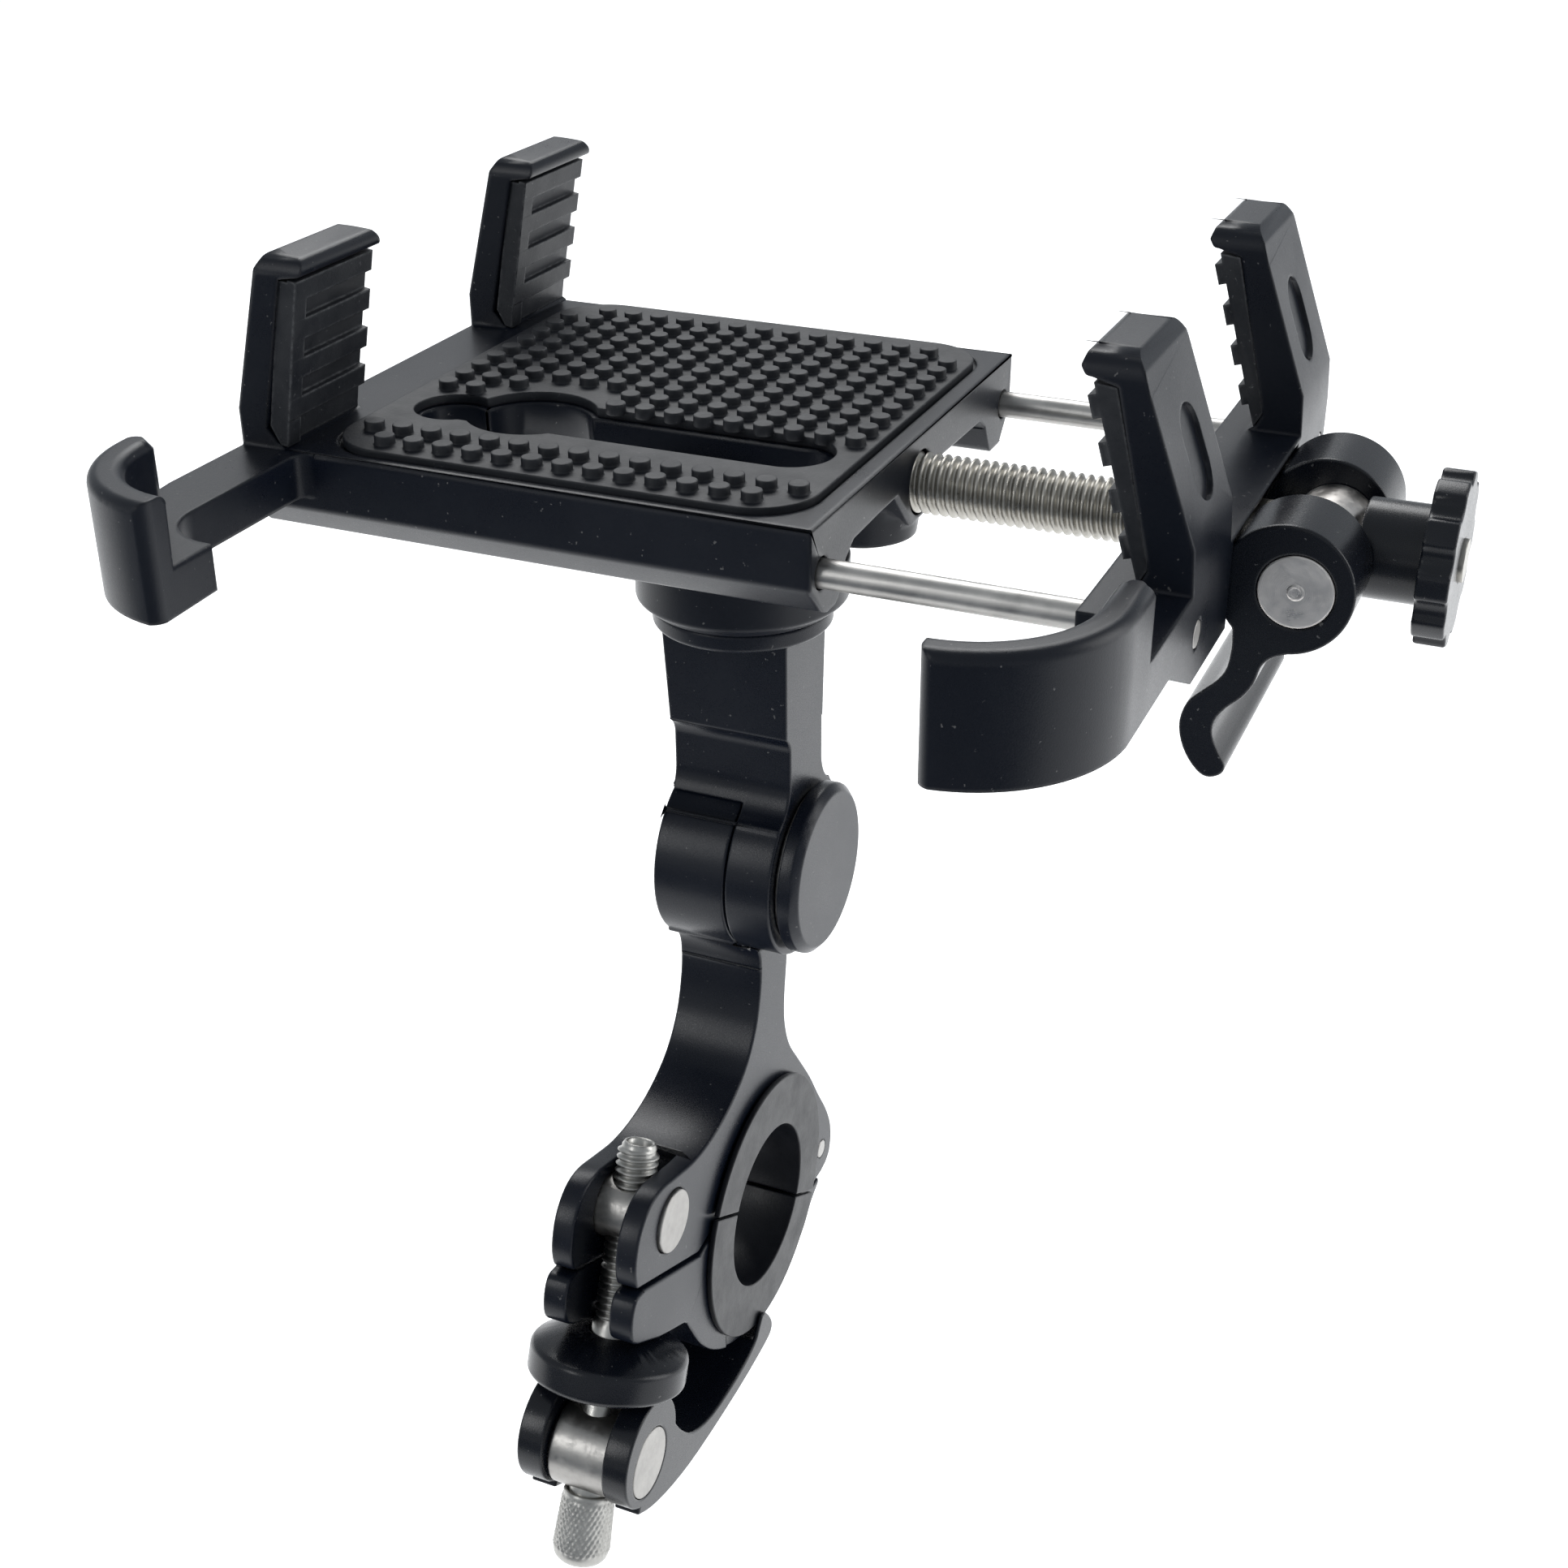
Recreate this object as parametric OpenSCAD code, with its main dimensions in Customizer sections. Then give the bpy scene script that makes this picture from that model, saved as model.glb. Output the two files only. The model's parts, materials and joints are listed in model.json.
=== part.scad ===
// Phone mount for a motorcycle or bicycle handlebar. Millimetres, +Z up.
// The origin is the centre of the handlebar hole, and the handlebar runs along X.
// A sliding jaw carriage on two guide rods grips the phone; a quick-release lever closes it.
// A swivel and a tilting arm carry the cradle over a two-part quick-release handlebar clamp.

/* [Phone cradle] */
// Width of the cradle plate across the phone
plate_width = 73.2; // [73.2:0.2:74]
// Height of the jaw tips above the handlebar centre
jaw_top = 149.6; // [149:0.2:150.2]
// Width of each jaw
jaw_width = 17.4; // [16:0.2:18]
// Diameter of the round studs on the grip pad
stud_d = 2.6; // [2:0.1:3]
// Height of the studs above the pad
stud_h = 1.2; // [0.8:0.1:1.6]
// Height of the ribs on the jaw pads
rib_h = 0.85; // [0.5:0.05:0.9]

/* [Jaw drive] */
// Diameter of the two guide rods
guide_rod_d = 3.6; // [3.2:0.1:3.8]
// Outer diameter of the lead screw thread
screw_d = 8; // [7.6:0.1:8]
// Distance between screw threads
screw_pitch = 1.25; // [1:0.25:1.5]
// Outer radius of the star knob
knob_r = 10.4; // [9.6:0.1:10.6]
// Number of grip scallops round the knob
knob_scallops = 10; // [8:1:12]

/* [Swivel and tilt arm] */
// Outer radius of the swivel collar under the plate
collar_r = 14.6; // [14:0.1:15]
// Outer radius of the tilt knuckle
knuckle_r = 13.3; // [13:0.1:13.6]
// Diameter of the tilt bolt and of the swivel bolt
pivot_bolt_d = 6; // [5:0.5:6]

/* [Handlebar clamp] */
// Diameter of the handlebar
bar_d = 25.4; // [24.6:0.1:26]
// Diameter of the clamp's own bore, with the inserts taken out
clamp_bore_d = 31.8; // [31.4:0.1:32]
// Outer radius of the insert flanges
insert_flange_r = 20.6; // [18.6:0.5:20.6]
// Diameter of the clamp stud
stud_bolt_d = 6; // [5.6:0.1:6]
// Outer radius of the pressure dish
dish_r = 11.3; // [10.8:0.1:11.6]
// Outer radius of the knurled nut
knurl_r = 4.2; // [4:0.1:4.5]

/* [Hidden] */
$fn = 72;
eps = 0.02;
// Cradle frame
head_y = 6.3;
half_w = plate_width / 2;
near_y = head_y - half_w;
far_y = head_y + half_w;
plate_top = 125;
web_bottom = 119.2;
plate_x0 = -39.4;
plate_x1 = 27.2;
bar_x0 = -50;
jaw_corner = 2.8;
hook_r = 17;
hook_edge = 1.3;
rod_dy = 33.15;
rod_z = 118.6;
rod_r = guide_rod_d / 2;
screw_z = 118.4;
screw_r = screw_d / 2;
neck_r = 2.6;
barrel_r = 5;
stem_x = 83.1;
thread_depth = 0.62;
pad_top = 125.8;
pad_x0 = -40;
pad_x1 = 24.4;
pad_y0 = -28.4;
pad_y1 = 40.9;
pad_corner = 8;
pad_strip = 2.6;
pad_lean_left = 10.3;
pad_lean_right = 16.2;
stud_px = 4.15;
stud_py = 4.2;
stud_x0 = 22;
stud_y0 = -3.4;
slot_y = -8.65;
// Carriage
car_x0 = 60.6;
car_x1 = 71.2;
car_top = 124.2;
car_bottom = 112.9;
wear_x = 69.2;
wear_t = 0.8;
// Phone lever
lever_px = 78.6;
lever_e = 1.2;
ring_r = 7.9;
ear_near0 = -10.9;
ear_near1 = -0.1;
ear_far0 = 12.7;
ear_far1 = 23.5;
lever_pin_r = 4.4;
pocket_top = 123.7;
// Swivel and arm
swivel_x = 2;
arm_z = 58.2;
arm_split_x = 4.4;
arm_x0 = -6.4;
arm_x1 = 11.3;
cap_r = 12.5;
waist_front = 0.9;
waist_back = 12.4;
scoop_r = 6;
bolt_r = pivot_bolt_d / 2;
// Handlebar clamp
bore_r = bar_d / 2;
seat_r = clamp_bore_d / 2;
half_clamp = 6.5;
split_a = -30.5;
split_gap = 0.25;
hinge_y = 24.5;
hinge_z = -7.1;
hinge_r = 4.5;
trunnion_y = -30;
trunnion_z = 19.2;
trunnion_r = 4.55;
stud_tilt = 22.5;
stud_r = stud_bolt_d / 2;
stud_pitch = 1;
cam_pin_t = 35.2;
cam_pin_r = 5.1;
cam_e = 1.5;
tip_lip = 0.75;
cheek_r = 8;
cheek_x0 = 4.7;
cheek_x1 = 8.6;
dish_top_t = 17.9;
dish_base_t = 25.3;
hinge_pin_r = 1.5;
stud_top_t = -9.8;

black = [0.05, 0.05, 0.06];
rubber = [0.03, 0.03, 0.03];
steel = [0.75, 0.76, 0.78];

// ---- Helpers ----

// Extrudes a shape drawn as (y, z) along X.
module along_x(x0, x1) {
    translate([x0, 0, 0])
        rotate([90, 0, 90])
            linear_extrude(x1 - x0)
                children();
}

// Extrudes a shape drawn as (x, z) along Y.
module along_y(y0, y1) {
    translate([0, y1, 0])
        rotate([90, 0, 0])
            linear_extrude(y1 - y0)
                children();
}

// A round bar along X.
module bar_x(x0, x1, y, z, r) {
    translate([x0, y, z])
        rotate([0, 90, 0])
            cylinder(h = x1 - x0, r = r);
}

// A round bar along Y.
module bar_y(y0, y1, x, z, r) {
    translate([x, y1, z])
        rotate([90, 0, 0])
            cylinder(h = y1 - y0, r = r);
}

// A cone along X.
module cone_x(x0, x1, y, z, r0, r1) {
    translate([x0, y, z])
        rotate([0, 90, 0])
            cylinder(h = x1 - x0, r1 = r0, r2 = r1);
}

// Half a threaded profile, as (radius, height), with square-cut ends.
module thread_profile(length, r, pitch, depth) {
    turns = floor(length / pitch);
    square([r - depth, length]);
    for (i = [0:turns - 1])
        translate([0, i * pitch])
            polygon([[0, pitch * 0.06], [r - depth, pitch * 0.06], [r, pitch * 0.42],
                [r, pitch * 0.58], [r - depth, pitch * 0.94], [0, pitch * 0.94]]);
}

// The keyhole opening through the plate, grown by g.
module keyhole(g) {
    translate([-15, slot_y - 4.85 - g])
        square([30.6, 9.7 + 2 * g]);
    translate([15.6, slot_y])
        circle(4.85 + g);
    translate([-21, slot_y + 0.65])
        circle(7.8 + g);
    translate([-31.5, slot_y - 1.2])
        circle(4.4 + g);
    translate([-32, slot_y - 4.6 - g])
        square([8, 7 + 2 * g]);
}

// A rectangle with round corners.
module round_rect(x0, y0, x1, y1, r) {
    translate([x0 + r, y0])
        square([x1 - x0 - 2 * r, y1 - y0]);
    translate([x0, y0 + r])
        square([x1 - x0, y1 - y0 - 2 * r]);
    for (x = [x0 + r, x1 - r], y = [y0 + r, y1 - r])
        translate([x, y])
            circle(r);
}

// One point of a smooth curve between b and c, with a and d as its neighbours.
function curve_point(a, b, c, d, t) =
    0.5 * (2 * b + (c - a) * t + (2 * a - 5 * b + 4 * c - d) * t * t
        + (3 * b - a - 3 * c + d) * t * t * t);

// A smooth curve through the given points, with n steps between neighbours.
function smooth(p, n) = [
    for (i = [0:len(p) - 2], k = [0:n - 1])
        curve_point(p[max(i - 1, 0)], p[i], p[i + 1], p[min(i + 2, len(p) - 1)], k / n),
    p[len(p) - 1]
];

// A quarter fillet in the corner at the origin.
module fillet(r) {
    difference() {
        translate([-0.5, -0.5])
            square(r + 0.5);
        translate([r, r])
            circle(r);
    }
}

// Places children in the frame of the clamp stud: Z runs down the stud from its upper pivot.
module stud_frame() {
    translate([0, trunnion_y, trunnion_z])
        rotate([180 - stud_tilt, 0, 0])
            children();
}

// ---- Cradle ----

module rail_half() {
    polygon([[0, plate_top], [half_w - 0.4, plate_top], [half_w, plate_top - 0.4],
        [half_w, 117.4], [half_w - 3.7, 113.5], [half_w - 5.2, 113], [half_w - 7.7, 113],
        [half_w - 8.7, 113.5], [half_w - 9.2, 114.2], [half_w - 11.2, 117.3],
        [half_w - 11.7, 118.1], [half_w - 12.7, 118.8], [half_w - 13.6, web_bottom],
        [8.4, web_bottom], [2.8, 113.4], [0, 113.4]]);
}

module rail_section() {
    translate([head_y, 0]) {
        rail_half();
        mirror([1, 0])
            rail_half();
    }
}

module left_jaw_profile() {
    polygon([[-50, 120], [-50, 129.5], [-45.1, 147.5], [-44, jaw_top - 0.5],
        [-42.8, jaw_top], [-38.9, jaw_top - 0.6], [-38.3, 148], [-38.5, 147],
        [-42.1, 146.4], [-45.6, 127.7], [-44.9, 125.8], [-43.6, plate_top], [-43.6, 120]]);
}

// A jaw profile cut to the jaw's width, with round top corners.
module jaw(y0) {
    intersection() {
        along_y(y0, y0 + jaw_width)
            children();
        along_x(-60, 80)
            union() {
                translate([y0, 110])
                    square([jaw_width, jaw_top - 110 - jaw_corner]);
                translate([y0 + jaw_corner, 110])
                    square([jaw_width - 2 * jaw_corner, jaw_top - 109]);
                for (y = [y0 + jaw_corner, y0 + jaw_width - jaw_corner])
                    translate([y, jaw_top - jaw_corner])
                        circle(jaw_corner);
            }
    }
}

// A quarter ring of a corner hook, drawn flat, with an end past the middle.
module hook_sector(centre, inner_r, side, end_x) {
    difference() {
        translate(centre)
            circle(hook_r);
        translate(centre)
            circle(inner_r);
        translate([centre[0] - 30, centre[1]])
            square([60, 30]);
        translate([side < 0 ? end_x : end_x - 60, centre[1] - 30])
            square([60, 60]);
    }
}

// The upright wall of a corner hook, with round edges.
module hook_wall(centre, z0, h, inner_r, side, end_x) {
    difference() {
        translate([centre[0], centre[1], z0])
            rotate_extrude()
                round_rect(inner_r, 0, hook_r, h, hook_edge);
        translate([-100, centre[1], z0 - 1])
            cube([200, 30, h + 2]);
        translate([side < 0 ? end_x : end_x - 60, centre[1] - 30, z0 - 1])
            cube([60, 60, h + 2]);
    }
}

// What is cut away to round the outer corner at a hook's free end.
module hook_corner(centre, side, end_x) {
    corner_x = end_x + side * 1.8;
    corner_y = centre[1] - hook_r + 1.9;
    translate([0, 0, 110])
        linear_extrude(30)
            difference() {
                translate([side < 0 ? corner_x : end_x - 0.1, corner_y - 3])
                    square([1.9, 3]);
                translate([corner_x, corner_y])
                    circle(1.8);
            }
}

module left_hook() {
    translate([0, 0, web_bottom])
        linear_extrude(5.7) {
            difference() {
                hook_sector([-32, -53.5], 4, -1, -32.8);
                translate([-33.9, -52])
                    circle(7.5);
                translate([-33.9, -59.5])
                    square([3, 8]);
            }
            difference() {
                translate([-49, -53.5])
                    square([8.6, 10]);
                translate([-33.9, -52])
                    circle(7.5);
                translate([-41.4, -52])
                    square([5, 20]);
            }
            translate([-49, -52])
                square([7.6, 22]);
            polygon([[-49.5, -50], [-50, -45], [-50, -30], [-45, -30], [-45, -50]]);
            translate([-41.4, near_y])
                mirror([0, 1])
                    fillet(2);
        }
    hook_wall([-32, -53.5], web_bottom, 14.1, 12.9, -1, -32.8);
    translate([-46.95, -53.5, web_bottom])
        cylinder(h = 12.8, r = 2.05);
    translate([-46.95, -53.5, web_bottom + 12.8])
        cylinder(h = 1.3, r1 = 2.05, r2 = 1.1);
}

module base_plate() {
    color(black)
        difference() {
            union() {
                along_x(bar_x0, plate_x1)
                    rail_section();
                translate([19.2, head_y, 111])
                    cylinder(h = 5, r1 = 7.2, r2 = 7.9);
                translate([19.2, head_y, 116 - eps])
                    cylinder(h = 3.5, r = 7.9);
                jaw(near_y)
                    left_jaw_profile();
                jaw(far_y - jaw_width)
                    left_jaw_profile();
                difference() {
                    left_hook();
                    hook_corner([-32, -53.5], -1, -32.8);
                }
            }
            translate([0, 0, plate_top - 0.5])
                linear_extrude(2)
                    round_rect(pad_x0 - 0.4, pad_y0 - 0.4, pad_x1 + 0.4, pad_y1 + 0.4, pad_corner);
            translate([0, 0, 110])
                linear_extrude(20)
                    keyhole(0);
            for (s = [-1, 1]) {
                bar_x(plate_x0 - 0.1, plate_x1 + 1, head_y + s * rod_dy, rod_z, rod_r + 0.06);
                bar_x(plate_x1 - 1, plate_x1 + 1, head_y + s * rod_dy, rod_z, rod_r + 0.3);
            }
            bar_x(-27, plate_x1 + 1, head_y, screw_z, screw_r + 0.3);
            translate([19.2, head_y, 110])
                cylinder(h = 13, r = 6);
        }
}

// True where a stud would stand clear of the keyhole.
function stud_ok(x, y) =
    !(y < -5 && y > -19.5) &&
    !(x > 20 && y > 33) &&
    !(x > 20 && y < -24) &&
    !(x < -34 && y < -24) &&
    !(x < -34 && y > 33) &&
    norm([x + 21, y + 8]) > 10.6;

module stud_row(y) {
    for (i = [0:14]) {
        x = stud_x0 - i * stud_px;
        if (stud_ok(x, y))
            translate([x, y, pad_top - 0.3])
                cylinder(h = stud_h + 0.3, d = stud_d, $fn = 24);
    }
}

module grip_pad() {
    color(rubber)
        union() {
            translate([0, 0, plate_top - 0.5])
                linear_extrude(pad_top - plate_top + 0.5)
                    difference() {
                        round_rect(pad_x0, pad_y0, pad_x1, pad_y1, pad_corner);
                        keyhole(0.7);
                    }
            for (j = [0:9])
                stud_row(stud_y0 + j * stud_py);
            stud_row(-21.3);
            stud_row(-25.5);
        }
}

// A jaw pad's backing, from the foot of its front face to the top, proud by d.
module left_pad_backing(d) {
    polygon([[-45.5, 127.7], [-44.3, 125.4], [-43.2 - d, 125.2], [-42.7 - d, 128.4],
        [-39.5 - d, 146], [-42.1, 146.3]]);
}

module left_pad_profile() {
    left_pad_backing(rib_h);
    translate([-42.7 - rib_h - 0.3, 128.4])
        rotate(-pad_lean_left)
            for (i = [0:3])
                translate([0, 0.4 + i * 5.1])
                    square([rib_h + 0.3, 2.6]);
}

module left_pad(y0) {
    color(rubber)
        union() {
            along_y(y0 + 0.3, y0 + jaw_width - 0.3)
                difference() {
                    left_pad_profile();
                    left_jaw_profile();
                }
            along_y(y0 + 0.3, y0 + 0.3 + pad_strip)
                difference() {
                    left_pad_backing(0);
                    left_jaw_profile();
                }
        }
}

module jaw_pad_left_near() {
    left_pad(near_y);
}

module jaw_pad_left_far() {
    left_pad(far_y - jaw_width);
}

module screw_nut() {
    color(steel)
        difference() {
            translate([19.2, head_y, 110.4])
                cylinder(h = 12.6, r = 6);
            bar_x(10, 28, head_y, screw_z, screw_r + 0.03);
        }
}

module swivel_collar() {
    color(black)
        difference() {
            translate([swivel_x, head_y, 0])
                rotate_extrude()
                    polygon([[bolt_r + 0.06, 98], [12.8, 98], [collar_r, 99.5],
                        [collar_r, web_bottom], [7, web_bottom], [7, 104],
                        [bolt_r + 0.06, 104]]);
            along_x(-30, 30)
                rail_section();
            translate([19.2, head_y, 105])
                cylinder(h = 20, r = 8);
        }
}

// ---- Carriage ----

module carriage_section() {
    polygon([[-38.3, car_top], [-38.3, 118.2], [near_y + 2.7, car_bottom],
        [far_y - 2.7, car_bottom], [far_y, car_bottom + 2], [far_y, car_top]]);
}

module right_jaw_profile() {
    polygon([[71.2, 122], [71.2, 124.2], [70.9, 129.4], [65, 145.4], [64.1, 147.9],
        [62.9, jaw_top], [58.6, jaw_top + 0.2], [57.7, jaw_top - 0.4], [57.3, 147.9],
        [57.9, 147], [61.4, 146], [66.1, 126.6], [65.3, 124.9], [64.2, car_top],
        [64.2, 122]]);
}

module jaw_recess(y) {
    translate([68.05, y, 137])
        rotate([0, -20.2, 0])
            translate([-0.6, 0, 0]) {
                translate([0, -3.3, -2.2])
                    cube([4, 6.6, 4.4]);
                for (s = [-1, 1])
                    translate([0, 0, s * 2.2])
                        rotate([0, 90, 0])
                            cylinder(h = 4, r = 3.3);
            }
}

module right_hook() {
    translate([0, 0, 118.2])
        linear_extrude(6) {
            difference() {
                union() {
                    hook_sector([54.2, -54], 4, 1, 54.7);
                    translate([60, -54])
                        square([11.2, 16]);
                }
                translate([56.1, -52.5])
                    circle(7.5);
                translate([50, -60])
                    square([6.1, 8]);
                translate([50, -52.5])
                    square([12.6, 25]);
                translate([50, -52.5])
                    square([13.6, 4]);
            }
            translate([62.6, -49])
                square([8.6, 19.5]);
            translate([62.6, near_y])
                rotate(180)
                    fillet(2);
        }
    hook_wall([54.2, -54], 118.2, 14.3, 13, 1, 54.7);
    translate([67.2, -54.01, 118.2])
        rotate([-90, 0, 0])
            mirror([0, 1])
                linear_extrude(6)
                    round_rect(0, 0, 4, 14.3, hook_edge);
    translate([69.2, -48, 118.2])
        cylinder(h = 13, r = 2);
    translate([69.2, -48, 131.2])
        cylinder(h = 1.3, r1 = 2, r2 = 0.9);
}

module carriage() {
    color(black)
        difference() {
            union() {
                along_x(car_x0, car_x1)
                    carriage_section();
                jaw(near_y)
                    right_jaw_profile();
                jaw(far_y - jaw_width)
                    right_jaw_profile();
                difference() {
                    right_hook();
                    hook_corner([54.2, -54], 1, 54.7);
                }
            }
            for (s = [-1, 1])
                bar_x(car_x0 - 1, car_x1 + 1, head_y + s * rod_dy, rod_z, rod_r);
            bar_x(car_x0 - 1, car_x1 + 1, head_y, screw_z, screw_r + 0.4);
            translate([wear_x - wear_t, ear_near0 - 0.6, 110])
                cube([5, ear_far1 - ear_near0 + 1.2, pocket_top - 110]);
            jaw_recess(near_y + jaw_width / 2 + 0.8);
            jaw_recess(far_y - jaw_width / 2 - 0.8);
        }
}

module right_pad_backing(d) {
    polygon([[61.3, 145.9], [57.9 + d, 146.2], [63.3 + d, 127.2], [64.1 + d, 124.6],
        [66.1, 126.7]]);
}

module right_pad_profile() {
    right_pad_backing(rib_h);
    translate([63.3 + rib_h + 0.3, 127.2])
        rotate(pad_lean_right)
            for (i = [0:3])
                translate([-rib_h - 0.3, 0.4 + i * 5.2])
                    square([rib_h + 0.3, 2.6]);
}

module right_pad(y0) {
    color(rubber)
        union() {
            along_y(y0 + 0.3, y0 + jaw_width - 0.3)
                difference() {
                    right_pad_profile();
                    right_jaw_profile();
                }
            along_y(y0 + jaw_width - 0.3 - pad_strip, y0 + jaw_width - 0.3)
                difference() {
                    right_pad_backing(0);
                    right_jaw_profile();
                }
        }
}

module jaw_pad_right_near() {
    right_pad(near_y);
}

module jaw_pad_right_far() {
    right_pad(far_y - jaw_width);
}

module guide_rod(s) {
    y = head_y + s * rod_dy;
    color(steel)
        union() {
            bar_x(-7.6, car_x1 - 0.4, y, rod_z, rod_r);
            cone_x(car_x1 - 0.4, car_x1, y, rod_z, rod_r, rod_r - 0.3);
            cone_x(-8, -7.6, y, rod_z, rod_r - 0.4, rod_r);
        }
}

module guide_rod_near() {
    guide_rod(-1);
}

module guide_rod_far() {
    guide_rod(1);
}

module wear_plate() {
    color(steel)
        difference() {
            union() {
                translate([wear_x - wear_t, ear_near0 - 0.3, 110.8])
                    cube([wear_t, ear_far1 - ear_near0 + 0.6, pocket_top - 110.8 - 0.1]);
                translate([wear_x - wear_t, head_y - 27.5, 110.8])
                    cube([wear_t, 55, 1.9]);
            }
            bar_x(60, 80, head_y, screw_z, screw_r + 0.6);
        }
}

module lead_screw() {
    color(steel)
        translate([8, head_y, screw_z])
            rotate([0, 90, 0])
                rotate_extrude() {
                    polygon([[0, -0.6], [screw_r - 1, -0.6], [screw_r - thread_depth, 0],
                        [0, 0]]);
                    thread_profile(56, screw_r - 0.05, screw_pitch, thread_depth);
                    translate([0, 55])
                        square([screw_r - 0.05, 9.8]);
                    translate([0, 60])
                        square([neck_r, 27]);
                }
}

module knob() {
    color(black)
        difference() {
            union() {
                bar_x(stem_x, 91, head_y, screw_z, 6);
                translate([90.7, head_y, screw_z])
                    rotate([90, 0, 90])
                        linear_extrude(3.8)
                            difference() {
                                circle(knob_r);
                                for (i = [0:knob_scallops - 1])
                                    rotate((i + 0.5) * 360 / knob_scallops)
                                        translate([knob_r + 1.05, 0])
                                            circle(2.1, $fn = 32);
                            }
            }
            bar_x(stem_x - 1, 95, head_y, screw_z, neck_r);
        }
}

module phone_trunnion() {
    color(steel)
        difference() {
            union() {
                bar_y(0.1, 12.5, lever_px, screw_z, barrel_r);
                bar_y(ear_near0, ear_far1, lever_px, screw_z, lever_pin_r);
            }
            bar_x(70, 90, head_y, screw_z, neck_r + 0.05);
            translate([stem_x - 0.2, ear_near1, screw_z - barrel_r])
                cube([5, ear_far0 - ear_near1, 2 * barrel_r]);
        }
}

module lever_outline() {
    polygon(concat(
        [[79.7, 114], [71.8, 113.5]],
        smooth([[72, 110.6], [71.7, 107.8], [70.7, 105.9], [69, 104.2], [67.4, 102.4],
            [66.7, 99.8], [67.1, 97.2], [68.2, 95], [69.7, 93.4], [71, 93.1],
            [72.3, 93.8], [72.6, 95], [71.7, 96.6], [70.8, 98.6], [70.9, 100.6],
            [72.1, 102.5], [73.8, 104.2], [75, 106.2], [75.6, 108.4], [76.6, 109.7],
            [78, 110.4], [79.7, 111]], 3)));
}

module phone_lever() {
    color(black)
        difference() {
            union() {
                bar_y(ear_near0, ear_near1, lever_px - lever_e, screw_z, ring_r);
                bar_y(ear_far0, ear_far1, lever_px - lever_e, screw_z, ring_r);
                along_y(ear_near0, ear_near1)
                    lever_outline();
                along_y(ear_far0, ear_far1)
                    lever_outline();
                along_y(ear_near0, ear_far1)
                    intersection() {
                        lever_outline();
                        translate([60, 90])
                            square([20, 17.6]);
                    }
            }
            bar_y(-20, 30, lever_px, screw_z, lever_pin_r + 0.05);
        }
}

// ---- Swivel and tilt arm ----

module swivel_ring() {
    color(black)
        translate([swivel_x, head_y, 0])
            rotate_extrude()
                polygon([[bolt_r, 95.3], [12, 95.3], [12.4, 95.7], [12.4, 97.6],
                    [12.1, 97.9], [bolt_r, 97.9]]);
}

module swivel_bolt() {
    color(steel)
        translate([swivel_x, head_y, 0])
            difference() {
                union() {
                    translate([0, 0, 84])
                        cylinder(h = 22, r = bolt_r);
                    translate([0, 0, 104.1])
                        cylinder(h = 6, r = 5);
                }
                translate([0, 0, 107.1])
                    cylinder(h = 4, r = 2.9, $fn = 6);
            }
}

// The arm's side outline from the swivel ring down into the knuckle.
module upper_arm_outline() {
    front_c = waist_front - scoop_r;
    back_c = waist_back + scoop_r;
    reach = knuckle_r + scoop_r;
    front_z = arm_z + sqrt(reach * reach - pow(head_y - front_c, 2));
    back_z = arm_z + sqrt(reach * reach - pow(back_c - head_y, 2));
    difference() {
        union() {
            polygon([[-0.5, 95.3], [-0.5, 76], [waist_back + 0.1, 76], [13.6, 95.3]]);
            translate([-3, 62])
                square([18.6, 16]);
        }
        translate([front_c, front_z])
            circle(scoop_r);
        translate([back_c, back_z])
            circle(scoop_r);
        translate([waist_front - 20, front_z])
            square([20, 78.5 - front_z]);
        translate([waist_front - 3, 78.5])
            circle(3);
        translate([waist_back, back_z])
            square([10, 6]);
    }
}

module upper_arm() {
    color(black)
        difference() {
            union() {
                intersection() {
                    along_x(arm_x0 - 1, arm_x1)
                        upper_arm_outline();
                    along_y(-10, 30)
                        polygon([[arm_x0, 60], [arm_x0, 81], [arm_x0 - 0.9, 95.3],
                            [arm_x1, 95.3], [arm_x1, 60]]);
                }
                bar_x(arm_split_x + 0.1, arm_x1, head_y, arm_z, knuckle_r);
            }
            bar_x(-10, arm_split_x + 0.1, head_y, arm_z, knuckle_r + 0.3);
            bar_x(0, 20, head_y, arm_z, bolt_r + 0.06);
            translate([swivel_x, head_y, 84])
                cylinder(h = 20, r = bolt_r);
        }
}

module hinge_bolt() {
    color(steel)
        difference() {
            union() {
                bar_x(-2, 13.4, head_y, arm_z, bolt_r);
                bar_x(-6.3, -1.5, head_y, arm_z, 5);
            }
            translate([-7, head_y, arm_z])
                rotate([0, 90, 0])
                    cylinder(h = 3.2, r = 2.9, $fn = 6);
        }
}

module hinge_washer() {
    color(steel)
        difference() {
            bar_x(arm_x1 + 0.1, 12.1, head_y, arm_z, 11.4);
            bar_x(arm_x1, 13, head_y, arm_z, bolt_r);
        }
}

module hinge_cap() {
    color(black)
        difference() {
            union() {
                bar_x(12.1, 14, head_y, arm_z, cap_r);
                cone_x(14, 15, head_y, arm_z, cap_r, cap_r - 1.1);
            }
            bar_x(12, 13.4, head_y, arm_z, bolt_r);
        }
}

// ---- Handlebar clamp ----

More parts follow.
